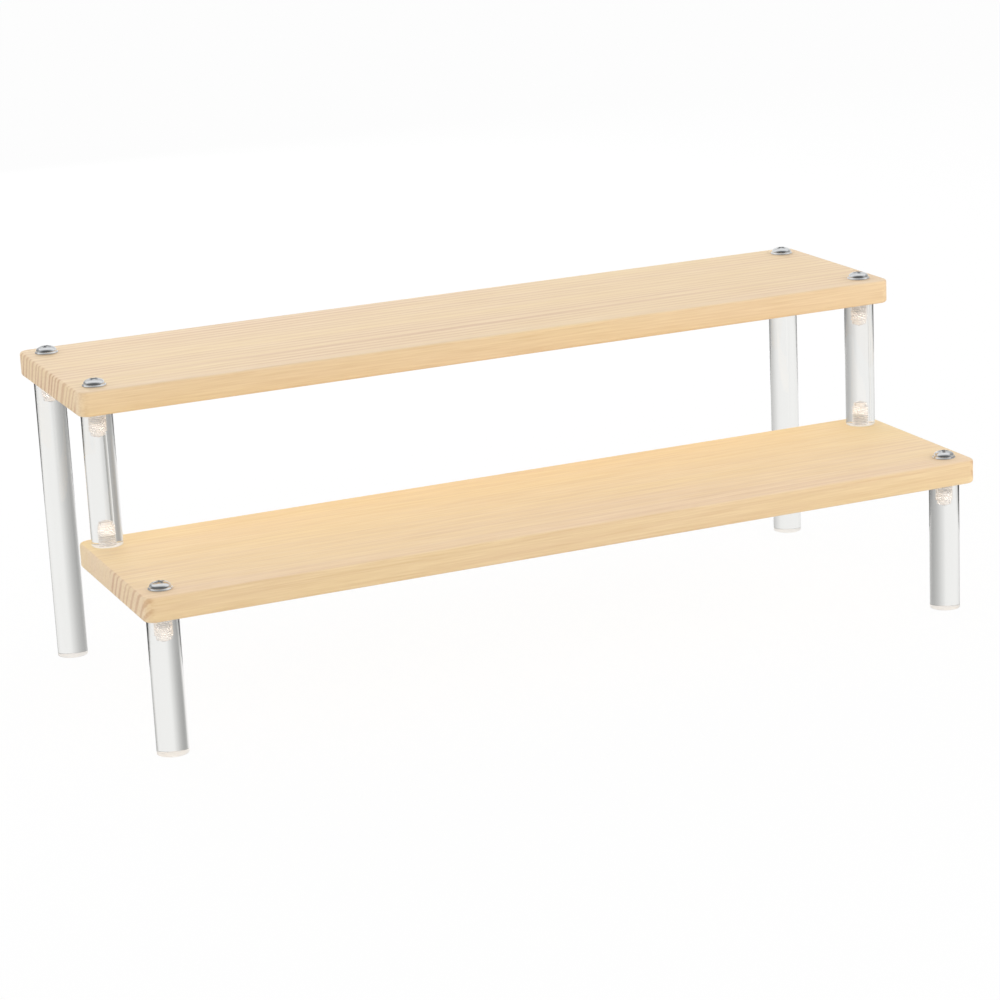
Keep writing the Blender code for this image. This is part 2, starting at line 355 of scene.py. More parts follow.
def planed_pine(shelf, cut, front, back):
    """Planed softwood, matt and pale: faint lines along it, bold reddish ones on its sawn ends.

    front and back are the colours of its top at the board's front and back. On the lower board they
    hold painted light, lifted against the upper shelf's shade.
    """
    material, tree, shader = new_material(cut.wood)
    place = add_node(tree, "ShaderNodeTexCoord")
    spot = place.outputs["Object"]
    across = add_node(tree, "ShaderNodeSeparateXYZ", {"Vector": spot}).outputs["Y"]
    late = growth_rings(tree, spot, shelf, cut)
    # The long edges face along Y and the sawn ends along X
    normal = add_node(tree, "ShaderNodeSeparateXYZ", {"Vector": place.outputs["Normal"]})
    masks = []
    for axis, start, full in (("Y", 0.3, 0.9), ("X", 0.2, 0.5)):
        facing = add_node(tree, "ShaderNodeMath", {0: normal.outputs[axis]}, operation="ABSOLUTE")
        mask = add_node(
            tree,
            "ShaderNodeMapRange",
            {"Value": facing.outputs[0], "From Min": start, "From Max": full},
        )
        masks.append(mask.outputs["Result"])
    edge_mask, end_mask = masks
    # The lines are faint on the planed faces and long edges, and bold on the sawn ends
    faint = add_node(
        tree, "ShaderNodeMapRange", {"Value": edge_mask, "To Min": cut.lines, "To Max": EDGE_LINES}
    )
    weight = add_node(
        tree,
        "ShaderNodeMapRange",
        {"Value": end_mask, "To Min": faint.outputs["Result"], "To Max": cut.end_lines},
    )
    patches = add_node(tree, "ShaderNodeMapping", {"Vector": spot, "Scale": PATCHES})
    patch = add_node(
        tree,
        "ShaderNodeTexNoise",
        {"Vector": patches.outputs["Vector"], "Scale": 1.0, "Detail": 2.0},
    )
    patchy = add_node(
        tree,
        "ShaderNodeMapRange",
        {"Value": patch.outputs["Fac"], "From Min": 0.3, "From Max": 0.7, "To Min": PATCH_LINES},
    )
    factors = [weight, patchy]
    for limit, fade in zip(cut.ringed, (-PLAIN_FADE, PLAIN_FADE)):
        plain = add_node(
            tree,
            "ShaderNodeMapRange",
            {
                "Value": across,
                "From Min": limit,
                "From Max": limit + fade,
                "To Min": 1.0,
                "To Max": PLAIN_LINES,
            },
        )
        factors.append(plain)
    lines = late
    for factor in factors:
        product = add_node(
            tree, "ShaderNodeMath", {0: lines, 1: factor.outputs["Result"]}, operation="MULTIPLY"
        )
        lines = product.outputs[0]
    # The ground goes from front to back, then to the edges and ends, then to the lines. On the
    # lower board the change from front to back is painted bounce light, more golden under the upper
    # shelf.
    low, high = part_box("lower_shelf")
    deep = add_node(
        tree, "ShaderNodeMapRange", {"Value": across, "From Min": low.y, "From Max": high.y}
    )
    side = add_node(tree, "ShaderNodeMath", {0: end_mask, 1: edge_mask}, operation="MAXIMUM")
    wood = (*front, 1.0)
    for factor, tone in (
        (deep.outputs["Result"], back),
        (side.outputs[0], shelf.pale_wood),
        (lines, shelf.latewood),
    ):
        mix = add_node(
            tree,
            "ShaderNodeMix",
            {0: factor, MIX_A: wood, MIX_B: (*tone, 1.0)},
            data_type="RGBA",
        )
        wood = mix.outputs[MIX_RESULT]
    # Real fibres are far finer than these streaks, which are as coarse as they need to be to show
    grain = add_node(
        tree,
        "ShaderNodeMapping",
        {
            "Vector": spot,
            "Scale": (1 / shelf.fibre_length, 1 / shelf.fibre_width, 1 / shelf.fibre_width),
        },
    )
    fibre = add_node(
        tree,
        "ShaderNodeTexNoise",
        {"Vector": grain.outputs["Vector"], "Scale": 1.0, "Detail": 3.0, "Roughness": 0.6},
    )
    fibre_tone = add_node(
        tree,
        "ShaderNodeValToRGB",
        {"Fac": fibre.outputs["Fac"]},
        stops=((0.3, tuple(shelf.fibre_tint)), (0.65, 1.0)),
    )
    patch_tone = add_node(
        tree,
        "ShaderNodeValToRGB",
        {"Fac": patch.outputs["Fac"]},
        stops=((0.3, tuple(shelf.yellow_tint)), (0.7, tuple(shelf.rosy_tint))),
    )
    # The long edges are tinted yellower than the top
    for factor, tint in (
        (1.0, fibre_tone.outputs["Color"]),
        (1.0, patch_tone.outputs["Color"]),
        (edge_mask, (*shelf.edge_tint, 1.0)),
    ):
        mix = add_node(
            tree,
            "ShaderNodeMix",
            {0: factor, MIX_A: wood, MIX_B: tint},
            data_type="RGBA",
            blend_type="MULTIPLY",
        )
        wood = mix.outputs[MIX_RESULT]
    rough = add_node(tree, "ShaderNodeMapRange", {"Value": late, "To Min": 0.58, "To Max": 0.48})
    bump = add_node(
        tree,
        "ShaderNodeBump",
        {"Height": fibre.outputs["Fac"], "Strength": 0.2, "Distance": 0.00008},
    )
    tree.links.new(wood, shader.inputs["Base Color"])
    tree.links.new(rough.outputs["Result"], shader.inputs["Roughness"])
    tree.links.new(bump.outputs["Normal"], shader.inputs["Normal"])
    shader.inputs["Specular IOR Level"].default_value = 0.3
    return material


ACRYLIC_IOR = 1.49
# Marks per metre. Real draw marks are about 0.02 mm wide, and those of a saw or tap about 0.1 mm.
# Both are drawn as coarse as they need to be to show: 1.7 mm wide and 40 mm long, and 0.4 mm.
DRAW_MARKS = (600.0, 600.0, 25.0)
TOOL_MARKS = 2500.0


def cast_acrylic(rod):
    """Polished clear acrylic rod: a lens for what is behind it, with faint draw marks along it."""
    material, tree, shader = new_material("polished_cast_acrylic")
    shader.inputs["Base Color"].default_value = (*rod.polished, 1.0)
    shader.inputs["Transmission Weight"].default_value = 1.0
    shader.inputs["IOR"].default_value = ACRYLIC_IOR
    place = add_node(tree, "ShaderNodeTexCoord")
    drawn = add_node(
        tree, "ShaderNodeMapping", {"Vector": place.outputs["Object"], "Scale": DRAW_MARKS}
    )
    marks = add_node(
        tree,
        "ShaderNodeTexNoise",
        {"Vector": drawn.outputs["Vector"], "Scale": 1.0, "Detail": 2.0},
    )
    rough = add_node(
        tree,
        "ShaderNodeMapRange",
        {"Value": marks.outputs["Fac"], "To Min": 0.0, "To Max": 0.03},
    )
    bump = add_node(
        tree,
        "ShaderNodeBump",
        {"Height": marks.outputs["Fac"], "Strength": 0.05, "Distance": 0.0001},
    )
    tree.links.new(rough.outputs["Result"], shader.inputs["Roughness"])
    tree.links.new(bump.outputs["Normal"], shader.inputs["Normal"])
    return material


def cut_acrylic(name, rod, clear, glow):
    """The same acrylic where a saw or tap left it matt: milky, and bright with the rod's light.

    clear is how much of what lies behind shows through, and glow is the strength of a painted glow,
    an emission that stands for the light that comes along the rod.
    """
    material, tree, shader = new_material(name)
    shader.inputs["Base Color"].default_value = (*rod.cut, 1.0)
    shader.inputs["Transmission Weight"].default_value = clear
    shader.inputs["IOR"].default_value = ACRYLIC_IOR
    # Painted light: an emission in the cut's colour, for the light that comes along the rod
    shader.inputs["Emission Color"].default_value = (*rod.cut, 1.0)
    shader.inputs["Emission Strength"].default_value = glow
    # The glow is too faint to light other pieces
    material.cycles.emission_sampling = "NONE"
    place = add_node(tree, "ShaderNodeTexCoord")
    marks = add_node(
        tree,
        "ShaderNodeTexNoise",
        {"Vector": place.outputs["Object"], "Scale": TOOL_MARKS, "Detail": 2.0},
    )
    rough = add_node(
        tree,
        "ShaderNodeMapRange",
        {"Value": marks.outputs["Fac"], "To Min": 0.5, "To Max": 0.7},
    )
    tree.links.new(rough.outputs["Result"], shader.inputs["Roughness"])
    return material


# A flank's normal has up to this much of Z. Flanks that face down get painted shade, the others
# painted light.
FLANK_LEAN = 0.8
SHADED_FLANK, LIT_FLANK = 0.4, 0.5


def tapped_acrylic(rod):
    """A tapped hole in the rod: milky rings, painted light and shade on each thread's flanks."""
    material = cut_acrylic("tapped_acrylic", rod, clear=0.35, glow=0.30)
    tree = material.node_tree
    place = add_node(tree, "ShaderNodeTexCoord")
    normal = add_node(tree, "ShaderNodeSeparateXYZ", {"Vector": place.outputs["Normal"]})
    lit = add_node(
        tree,
        "ShaderNodeMapRange",
        {"Value": normal.outputs["Z"], "From Min": -FLANK_LEAN, "From Max": FLANK_LEAN},
    )
    flank = add_node(
        tree,
        "ShaderNodeValToRGB",
        {"Fac": lit.outputs["Result"]},
        stops=(
            (0.0, tuple(SHADED_FLANK * channel for channel in rod.cut)),
            (1.0, tuple(LIT_FLANK * channel for channel in rod.cut)),
        ),
    )
    shader = tree.nodes["Principled BSDF"]
    tree.links.new(flank.outputs["Color"], shader.inputs["Emission Color"])
    return material


# The dents of barrel plating, per metre: 0.7 mm apart
BARREL_MARKS = 1400.0


def zinc_plated_steel(name, screw, smoothest, roughest):
    """Bright zinc plating on steel: a cold grey mirror, softened by the dents of barrel plating."""
    material, tree, shader = new_material(name)
    shader.inputs["Base Color"].default_value = (*screw.plating, 1.0)
    shader.inputs["Metallic"].default_value = 1.0
    place = add_node(tree, "ShaderNodeTexCoord")
    marks = add_node(
        tree,
        "ShaderNodeTexNoise",
        {"Vector": place.outputs["Object"], "Scale": BARREL_MARKS, "Detail": 3.0},
    )
    rough = add_node(
        tree,
        "ShaderNodeMapRange",
        {"Value": marks.outputs["Fac"], "To Min": smoothest, "To Max": roughest},
    )
    bump = add_node(
        tree,
        "ShaderNodeBump",
        {"Height": marks.outputs["Fac"], "Strength": 0.15, "Distance": 0.0001},
    )
    tree.links.new(rough.outputs["Result"], shader.inputs["Roughness"])
    tree.links.new(bump.outputs["Normal"], shader.inputs["Normal"])
    return material


def select_only(piece):
    """Makes a piece the only one that is selected, and the active one."""
    bpy.ops.object.select_all(action="DESELECT")
    piece.select_set(True)
    bpy.context.view_layer.objects.active = piece


def pick(kind, test):
    """Selects, in edit mode, the edges or faces that pass a test."""
    bpy.ops.mesh.select_mode(type={"edges": "EDGE", "faces": "FACE"}[kind])
    bpy.ops.mesh.select_all(action="DESELECT")
    mesh = bpy.context.object.data
    bm = bmesh.from_edit_mesh(mesh)
    for item in getattr(bm, kind):
        item.select_set(test(item))
    bm.select_flush_mode()
    bmesh.update_edit_mesh(mesh)


def is_level(edge):
    """Whether both ends of an edge have the same height."""
    return abs(edge.verts[0].co.z - edge.verts[1].co.z) < WELD


def ease(width, segments):
    """Rounds the selected edges."""
    bpy.ops.mesh.bevel(offset=width, segments=segments, profile=0.5, affect="EDGES")


def trace(name, points):
    """Starts a piece as a line through points and stays in edit mode.

    The line is drawn from one vertex, by extruding it.
    """
    bpy.ops.object.select_all(action="DESELECT")
    bpy.ops.mesh.primitive_plane_add(size=0.001)
    bpy.context.object.name = name
    bpy.ops.object.mode_set(mode="EDIT")
    bpy.ops.mesh.select_mode(type="VERT")
    bpy.ops.mesh.select_all(action="SELECT")
    bpy.ops.mesh.merge(type="CENTER")
    bpy.ops.transform.translate(value=points[0])
    for here, there in zip(points, points[1:]):
        way = Vector(there) - Vector(here)
        bpy.ops.mesh.extrude_region_move(TRANSFORM_OT_translate={"value": way})
    bpy.ops.mesh.select_all(action="SELECT")


def close_up():
    """Merges doubles, turns the faces outwards and leaves edit mode. Gives the object."""
    bpy.ops.mesh.select_all(action="SELECT")
    bpy.ops.mesh.remove_doubles(threshold=WELD)
    bpy.ops.mesh.normals_make_consistent(inside=False)
    bpy.ops.object.mode_set(mode="OBJECT")
    return bpy.context.object


def turn(name, profile, steps):
    """Turns a (radius, height) profile round Z. It starts and ends on the axis."""
    trace(name, [(radius, 0.0, height) for radius, height in profile])
    bpy.ops.mesh.spin(steps=steps, angle=math.tau, center=(0, 0, 0), axis=(0, 0, 1))
    return close_up()


def thread(name, root, crest, pitch, bottom, top):
    """A right-hand thread between two heights, cut off square at both ends."""
    trace(name, [(root, 0, top), (crest, 0, top + pitch / 2), (root, 0, top + pitch)])
    turns = math.ceil((top - bottom) / pitch) + 1
    bpy.ops.mesh.screw(steps=THREAD_STEPS, turns=turns, center=(0, 0, 0), axis=(0, 0, -1))
    bpy.ops.mesh.select_all(action="SELECT")
    bpy.ops.mesh.remove_doubles(threshold=WELD)
    for height, is_bottom in ((bottom, True), (top, False)):
        bpy.ops.mesh.select_all(action="SELECT")
        bpy.ops.mesh.bisect(
            plane_co=(0, 0, height),
            plane_no=(0, 0, 1),
            use_fill=True,
            clear_inner=is_bottom,
            clear_outer=not is_bottom,
            threshold=ON_PLANE,
        )
    return close_up()


def work_in(piece, tool, operation):
    """Joins a tool to a piece, or cuts it out, and clears the tool away."""
    select_only(piece)
    boolean = piece.modifiers.new(operation.lower(), "BOOLEAN")
    boolean.operation = operation
    boolean.solver = "EXACT"
    boolean.material_mode = "TRANSFER" if tool.data.materials else "INDEX"
    boolean.object = tool
    bpy.ops.object.modifier_apply(modifier=boolean.name)
    bpy.data.objects.remove(tool, do_unlink=True)


def copy_to(piece, name, matrix):
    """A copy with its own mesh, with its place in the mesh."""
    select_only(piece)
    bpy.ops.object.duplicate(linked=False)
    copy = bpy.context.object
    copy.name = name
    copy.matrix_world = matrix
    bpy.ops.object.transform_apply(location=True, rotation=True, scale=True)
    return copy


def smooth(piece):
    """Shades a piece smooth, with its sharp edges kept."""
    select_only(piece)
    bpy.ops.object.shade_smooth_by_angle(angle=SMOOTH_BELOW)


def hand_over(piece, node):
    """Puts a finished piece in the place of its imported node."""
    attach(piece, "root")
    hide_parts(node)


def middle(node):
    """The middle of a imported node's box."""
    low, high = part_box(node)
    return (low + high) / 2


def turned(node):
    """How a rod, and each screw in it, is turned."""
    return Matrix.Rotation(math.radians(ROD_TURNS[node]), 4, "Z")


def seats():
    """Where each screw's head sits, by name, and whether it is driven upwards."""
    low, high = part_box("lower_shelf"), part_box("upper_shelf")
    return {
        "screw_lower_front": (low[1].z + TOUCH, False),
        "screw_under_post": (low[0].z - TOUCH, True),
        "screw_upper_front": (high[1].z + TOUCH, False),
        "screw_upper_rear": (high[1].z + TOUCH, False),
    }


def spans():
    """The foot and the top of each kind of rod."""
    low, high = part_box("lower_shelf"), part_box("upper_shelf")
    return {
        "front_leg": (0.0, low[0].z - TOUCH),
        "riser_post": (low[1].z + TOUCH, high[0].z - TOUCH),
        "rear_leg": (0.0, high[0].z - TOUCH),
    }


def grip():
    """How far a screw's head sits from the end of its rod."""
    low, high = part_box("lower_shelf")
    return high.z - low.z + 2 * TOUCH


class DISPLAY_STAND_OT_shelves(bpy.types.Operator):
    """Planes the two pine boards, eases their edges and drills them"""

    bl_idname = "display_stand.shelves"
    bl_label = "Pine shelves"
    bl_options = {"REGISTER", "UNDO"}

    def execute(self, context):
        settings = context.scene.display_stand
        shelf = settings.shelf
        low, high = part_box("lower_shelf")
        size = high - low
        bpy.ops.object.select_all(action="DESELECT")
        bpy.ops.mesh.primitive_cube_add(size=1, scale=size)
        board = context.object
        bpy.ops.object.transform_apply(location=True, rotation=True, scale=True)
        bpy.ops.object.mode_set(mode="EDIT")
        pick("edges", lambda edge: not is_level(edge))
        ease(shelf.corner_radius, CORNER_SEGMENTS)
        pick("edges", is_level)
        ease(shelf.edge_round, EDGE_SEGMENTS)
        close_up()
        radius = settings.screw.thread_diameter / 2 + shelf.hole_clearance
        reach = size.z
        hole = [(0, -reach), (radius, -reach), (radius, reach), (0, reach)]
        for node in HOLES:
            drill = turn("drill", hole, HOLE_STEPS)
            drill.location = (middle(node) - middle("lower_shelf")) * Vector((1, 1, 0))
            context.view_layer.update()
            work_in(board, drill, "DIFFERENCE")
        smooth(board)
        # The lower board's top gets colours with painted light in them, against the upper shelf's
        # shade
        woods = {
            "lower_shelf": (shelf.front_wood_and_painted_light, shelf.back_wood_and_painted_light),
            "upper_shelf": (shelf.pale_wood, shelf.pale_wood),
        }
        for node, (front, back) in woods.items():
            piece = copy_to(board, f"pine_{node}", Matrix.Translation(middle(node)))
            piece.data.materials.append(planed_pine(shelf, CUTS[node], front, back))
            hand_over(piece, node)
        bpy.data.objects.remove(board, do_unlink=True)
        return {"FINISHED"}


class DISPLAY_STAND_OT_rods(bpy.types.Operator):
    """Turns the clear acrylic legs and posts and taps their ends"""

    bl_idname = "display_stand.rods"
    bl_label = "Acrylic rods"
    bl_options = {"REGISTER", "UNDO"}

    def execute(self, context):
        settings = context.scene.display_stand
        rod, screw = settings.rod, settings.screw
        crest = screw.thread_diameter / 2 + rod.thread_clearance
        tap = self.tap(rod, screw, crest)
        # The sawn ends glow with painted light
        sawn = cut_acrylic("sawn_acrylic", rod, clear=0.5, glow=0.32)
        materials = (cast_acrylic(rod), tapped_acrylic(rod), sawn)
        for kind in RODS:
            foot, end = spans()[kind]
            low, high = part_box(f"{kind}_left")
            tall = end - foot
            blank = self.blank(kind, (high.x - low.x) / 2, tall, rod.rim_round)
            places = [Matrix.Translation((0, 0, tall + grip()))]
            if kind == "riser_post":
                upside_down = Matrix.Rotation(math.pi, 4, "X")
                places.append(Matrix.Translation((0, 0, -grip())) @ upside_down)
            for place in places:
                work_in(blank, copy_to(tap, "tap_here", place), "DIFFERENCE")
            smooth(blank)
            for material in materials:
                blank.data.materials.append(material)
            for face in blank.data.polygons:
                to_end = min(face.center.z, tall - face.center.z)
                if abs(face.normal.z) > LEVEL and to_end < WELD:
                    face.material_index = SAWN
                elif face.center.xy.length < crest:
                    face.material_index = TAPPED
                else:
                    face.material_index = POLISHED
            for side in SIDES:
                node = f"{kind}_{side}"
                centre = middle(node)
                place = Matrix.Translation((centre.x, centre.y, foot)) @ turned(node)
                piece = copy_to(blank, f"acrylic_{node}", place)
                # Light goes through a clear rod, which leaves hardly a shadow
                piece.visible_shadow = False
                hand_over(piece, node)
            bpy.data.objects.remove(blank, do_unlink=True)
        bpy.data.objects.remove(tap, do_unlink=True)
        return {"FINISHED"}

    def tap(self, rod, screw, crest):
        """The form of a tapped hole and its drill point, with the screw's head at the origin."""
        root = crest - screw.thread_depth
        top = -grip()
        above = top + 2 * screw.thread_pitch
        thread_end = top - screw.thread_in_rod - rod.tap_past_screw
        pilot = root - rod.pilot_step
        pilot_end = thread_end - rod.pilot_past_tap
        tap = thread("tap", root, crest, screw.thread_pitch, thread_end, above)
        point = pilot_end - rod.drill_point
        drill = [(0, above), (pilot, above), (pilot, pilot_end), (0, point)]
        work_in(tap, turn("pilot", drill, HOLE_STEPS), "UNION")
        return tap

    def blank(self, kind, radius, tall, rim_round):
        """A rod on the origin, with eased rims, before it is tapped."""
        profile = [(0, 0), (radius, 0), (radius, tall), (0, tall)]
        blank = turn(kind, profile, ROD_STEPS)
        bpy.ops.object.mode_set(mode="EDIT")
        rim = radius - WELD
        pick(
            "edges",
            lambda edge: is_level(edge) and all(v.co.xy.length > rim for v in edge.verts),
        )
        ease(rim_round, RIM_SEGMENTS)
        close_up()
        return blank


class DISPLAY_STAND_OT_screws(bpy.types.Operator):
    """Makes the domed cross-recess screws and drives them home"""

    bl_idname = "display_stand.screws"
    bl_label = "Plated screws"
    bl_options = {"REGISTER", "UNDO"}

    def execute(self, context):
        screw = context.scene.display_stand.screw
        crest = screw.thread_diameter / 2
        root = crest - screw.thread_depth
        tip = -grip() - screw.thread_in_rod
        shank_end = -grip() + screw.thread_in_shelf
        plated = zinc_plated_steel("bright_zinc_plated_steel", screw, smoothest=0.1, roughest=0.24)
        # The punch leaves the recess duller than the head
        punched = zinc_plated_steel("punched_zinc_plated_steel", screw, smoothest=0.4, roughest=0.6)
        piece = self.blank(screw, root, (crest + root) / 2, shank_end, tip)
        piece.data.materials.append(plated)
        self.recess(piece, screw, punched)
        thread_tip = tip + screw.tip_chamfer
        teeth = thread("teeth", root - WELD, crest, screw.thread_pitch, thread_tip, shank_end)
        teeth.data.materials.append(plated)
        work_in(piece, teeth, "UNION")
        smooth(piece)
        for name, rod in SCREWS.items():
            seat, upwards = seats()[name]
            flip = Matrix.Rotation(math.pi if upwards else 0.0, 4, "X")
            for side in SIDES:
                centre = middle(f"{rod}_{side}")
                on_seat = Matrix.Translation((centre.x, centre.y, seat))
                place = on_seat @ turned(f"{rod}_{side}") @ flip
                copy = copy_to(piece, f"plated_{name}_{side}", place)
                hand_over(copy, f"{name}_{side}")
        bpy.data.objects.remove(piece, do_unlink=True)
        return {"FINISHED"}

    def blank(self, screw, root, shank, shank_end, tip):
        """A screw without recess or thread, its head's seat at the origin."""
        flange = screw.head_diameter / 2
        foot = flange - screw.flange_lip
        dome = screw.head_height - screw.flange_height
        power = 2 / screw.dome_power
        profile = [(0, screw.head_height)]
        for ring in range(1, DOME_RINGS + 1):
            angle = math.pi / 2 * ring / DOME_RINGS
            across, up = (share**power for share in (math.sin(angle), math.cos(angle)))
            profile.append((foot * across, screw.flange_height + dome * up))
        profile += [(flange, screw.flange_rim), (flange, 0), (shank, 0), (shank, shank_end)]
        profile += [(root, shank_end - screw.thread_depth)]
        profile += [(root, tip + screw.tip_chamfer), (root - screw.tip_chamfer, tip), (0, tip)]
        blank = turn("screw", profile, HEAD_STEPS)
        bpy.ops.object.mode_set(mode="EDIT")
        rim = flange - WELD
        pick(
            "edges",
            lambda edge: all(
                abs(v.co.z - screw.flange_rim) < WELD and v.co.xy.length > rim
                for v in edge.verts
            ),
        )
        ease(screw.flange_round, FLANGE_SEGMENTS)
        close_up()
        return blank

    def recess(self, piece, screw, punched):
        """Cuts the cross: two tapered bars square to each other, and the drill point between."""
        head, wing = screw.head_height, screw.recess_wing
        top, bottom = head + screw.recess_depth, head - screw.recess_depth
        span, width = RECESS_FLOOR
        for quarter in range(2):
            bpy.ops.object.select_all(action="DESELECT")
            bpy.ops.mesh.primitive_cube_add(
                size=1,
                location=(0, 0, head),
                scale=(screw.recess_diameter, wing, top - bottom),
            )
            bpy.ops.object.transform_apply(location=True, rotation=True, scale=True)
            bpy.ops.object.mode_set(mode="EDIT")
            pick("faces", lambda face: face.normal.z < -LEVEL)
            bpy.ops.transform.resize(value=(span, width, 1.0), center_override=(0, 0, bottom))
            pick("faces", lambda face: face.normal.z > LEVEL)
            bpy.ops.transform.resize(
                value=(2 - span, 2 - width, 1.0), center_override=(0, 0, top)
            )
            bar = close_up()
            bar.data.materials.append(punched)
            bar.rotation_euler.z = quarter * math.pi / 2
            bpy.context.view_layer.update()
            work_in(piece, bar, "DIFFERENCE")
        sides = [(share * wing, z) for share, z in zip(POINT_RADII, (top, head, bottom))]
        point = [(0, top), *sides, (0, bottom - POINT_DEPTH)]
        drill_point = turn("point", point, POINT_STEPS)
        drill_point.data.materials.append(punched)
        work_in(piece, drill_point, "DIFFERENCE")


# The view, fitted to the shelves' edges in the photograph: where the camera is, the way it looks
# and its lens
CAMERA_PLACE = (-0.53132, -1.24707, 0.44203)
CAMERA_YAW, CAMERA_PITCH, CAMERA_ROLL = 0.4014, 0.2726, -0.0480
CAMERA_LENS, CAMERA_SENSOR = 109.65, 36.0
TO_CAMERA = Vector((-math.sin(CAMERA_YAW), -math.cos(CAMERA_YAW), 0.0))
TO_RIGHT = Vector((math.cos(CAMERA_YAW), -math.sin(CAMERA_YAW), 0.0))

# A wide floor, just below the feet. To the camera it is plain white by this share, and the rest of
# it keeps the stand's shadow.
FLOOR_RADIUS = 6.0
FLOOR_STEPS = 96
FLOOR_DROP = 0.0002
FLOOR_WHITE = 0.94

# A tent of white cloth round the stand, open above
TENT_MIDDLE = (0.0, 0.0, 0.07)
TENT_RADIUS = 0.45
TENT_TOP = 0.29
TENT_SEGMENTS, TENT_RINGS = 64, 32
# How dim its folds are, from the middle of the view (0) to the far left and right (1), where the
# cloth is nearly white again
FOLDS = (
    (0.444, 0.0),
    (0.533, 0.033),
    (0.604, 0.175),
    (0.667, 0.29),
    (0.722, 0.417),
    (0.813, 0.60),
    (0.9, 0.744),
    (0.95, 0.7),
    (1.0, 0.15),
)
# Where, in radii towards the front, the folds begin and are full
FOLDS_BEGIN, FOLDS_FULL = 0.1, -0.15
# Where the dark front begins and is full, and how bright it still is
FRONT_BEGINS, FRONT_FULL = -0.3, 0.4
FRONT_SHADE = 0.16

# How bright the ceiling is, from straight behind (0) by way of overhead (a half) to the front (1)
CEILING = (
    (0.125, 0.7),
    (0.2, 0.9),
    (0.3, 1.0),
    (0.375, 0.9),
    (0.5, 0.7),
    (0.65, 0.3),
    (0.8, 0.08),
)

# The softboxes: their settings' names, where they hang and how wide they are
LAMPS = (
    ("key", (0.9, -0.7, 0.6), 0.6),
    ("fill", (-0.9, -0.2, 1.0), 0.9),
    ("back", (0.0, 1.3, 0.55), 1.0),
)
LAMP_TARGET = Vector((0.0, 0.0, 0.08))


